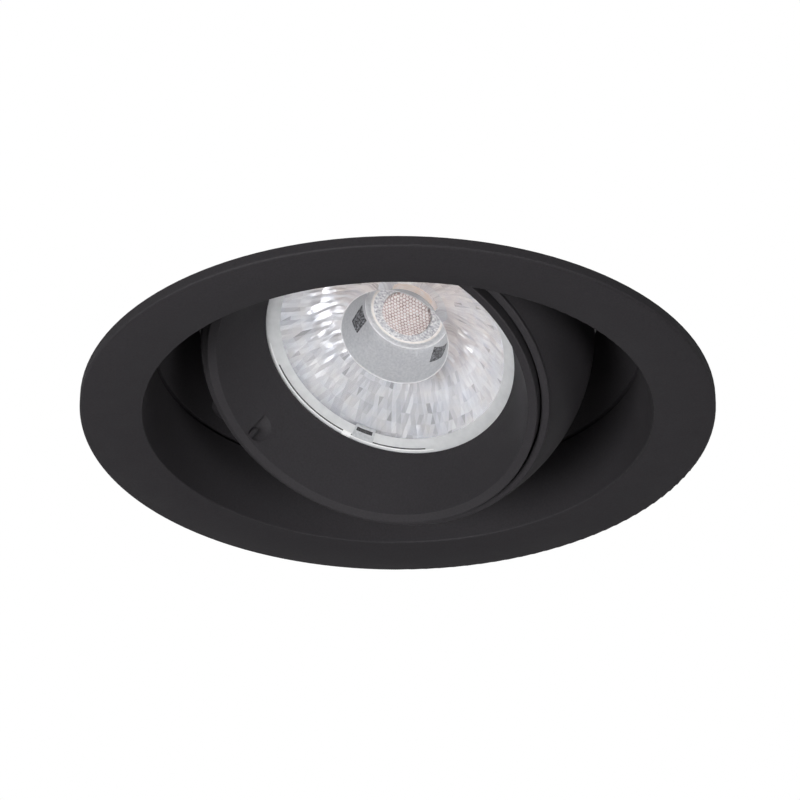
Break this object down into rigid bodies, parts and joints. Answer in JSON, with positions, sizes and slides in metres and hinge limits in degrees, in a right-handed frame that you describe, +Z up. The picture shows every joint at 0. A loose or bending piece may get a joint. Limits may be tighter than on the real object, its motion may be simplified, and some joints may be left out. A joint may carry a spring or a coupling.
{
  "type": "recessed soffit downlight",
  "caption": "Round recessed soffit downlight with a flat flange, deep funnel and a swivelling, tilting eyeball head with a clear collimating lens.",
  "frame": {"origin": "centre of the flange's back face, in the plane of the soffit board's underside", "axes": "+Z up into the soffit, square to the flange; +Y away from the side the picture was taken from, +X to its right"},
  "size_m": [0.17, 0.18, 0.1121],
  "materials": {
    "black_coat": "fine matt powder coat",
    "snoot_black": "fine matt powder coat",
    "cast_aluminium": "satin as cast",
    "spring_steel": "zinc plated",
    "screw_steel": "plated, satin",
    "foam": "closed-cell foam",
    "silicone": "soft matt",
    "clear_optic": "clear moulded optic with a frosted rim",
    "white_plastic": "moulded",
    "black_plastic": "moulded",
    "nylon": "natural nylon",
    "ceramic": "white ceramic board",
    "phosphor": "phosphor in silicone",
    "thermal_grey": "graphite-filled pad"
  },
  "bodies": {
    "trim": {"bracket_rivets": "screw_steel", "ceiling_gasket": "foam", "clip_bracket_1": "spring_steel", "clip_bracket_2": "spring_steel", "clip_bracket_3": "spring_steel", "clip_pin_1": "screw_steel", "clip_pin_2": "screw_steel", "clip_pin_3": "screw_steel", "clip_spring_1": "spring_steel", "clip_spring_2": "spring_steel", "clip_spring_3": "spring_steel", "retainer_screws": "screw_steel", "retainer_tab_1": "spring_steel", "retainer_tab_2": "spring_steel", "retainer_tab_3": "spring_steel", "swivel_stop_finger": "spring_steel", "trim_ring": "black_coat"},
    "swivel": {"swivel_ring": "black_coat"},
    "head": {"clamp_screws": "screw_steel", "eyeball_shell": "black_coat", "friction_washer_a": "nylon", "friction_washer_b": "nylon", "gland_body": "black_plastic", "gland_nut": "black_plastic", "gland_seal": "silicone", "heatsink": "cast_aluminium", "heatsink_fins": "cast_aluminium", "heatsink_screws": "screw_steel", "led_carrier": "ceramic", "led_clamp": "white_plastic", "led_emitter": "phosphor", "lens": "clear_optic", "lens_holder": "white_plastic", "lens_seal": "silicone", "thermal_pad": "thermal_grey", "tilt_screw_a": "screw_steel", "tilt_screw_b": "screw_steel"},
    "snoot": {"snoot_ring": "snoot_black"},
    "clip_1": {"clip_arm_1": "spring_steel"},
    "clip_2": {"clip_arm_2": "spring_steel"},
    "clip_3": {"clip_arm_3": "spring_steel"}
  },
  "joints": [
    {"name": "head_swivel", "type": "hinge", "parent": "trim", "child": "swivel", "pos_m": [0, 0, 0], "axis": [0, 0, 1], "range_deg": [-177.5, 177.5]},
    {"name": "head_tilt", "type": "hinge", "parent": "swivel", "child": "head", "pos_m": [0, 0, 0.0251], "axis": [-0.7934, 0.6088, 0], "range_deg": [-28, 2]},
    {"name": "snoot_twist", "type": "hinge", "parent": "head", "child": "snoot", "pos_m": [0, 0, 0.0251], "axis": [0.2858, 0.3725, 0.8829], "range_deg": [0, 18]},
    {"name": "clip_1_hinge", "type": "hinge", "parent": "trim", "child": "clip_1", "pos_m": [0, 0.0757, 0.024], "axis": [1, 0, 0], "range_deg": [0, 138], "stiffness_Nm_per_rad": 0.02, "springref_deg": -51.57, "deforming": ["clip_spring_1"]},
    {"name": "clip_2_hinge", "type": "hinge", "parent": "trim", "child": "clip_2", "pos_m": [-0.06556, -0.03785, 0.024], "axis": [-0.5, 0.866, 0], "range_deg": [0, 138], "stiffness_Nm_per_rad": 0.02, "springref_deg": -51.57, "deforming": ["clip_spring_2"]},
    {"name": "clip_3_hinge", "type": "hinge", "parent": "trim", "child": "clip_3", "pos_m": [0.06556, -0.03785, 0.024], "axis": [-0.5, -0.866, 0], "range_deg": [0, 138], "stiffness_Nm_per_rad": 0.02, "springref_deg": -51.57, "deforming": ["clip_spring_3"]}
  ]
}
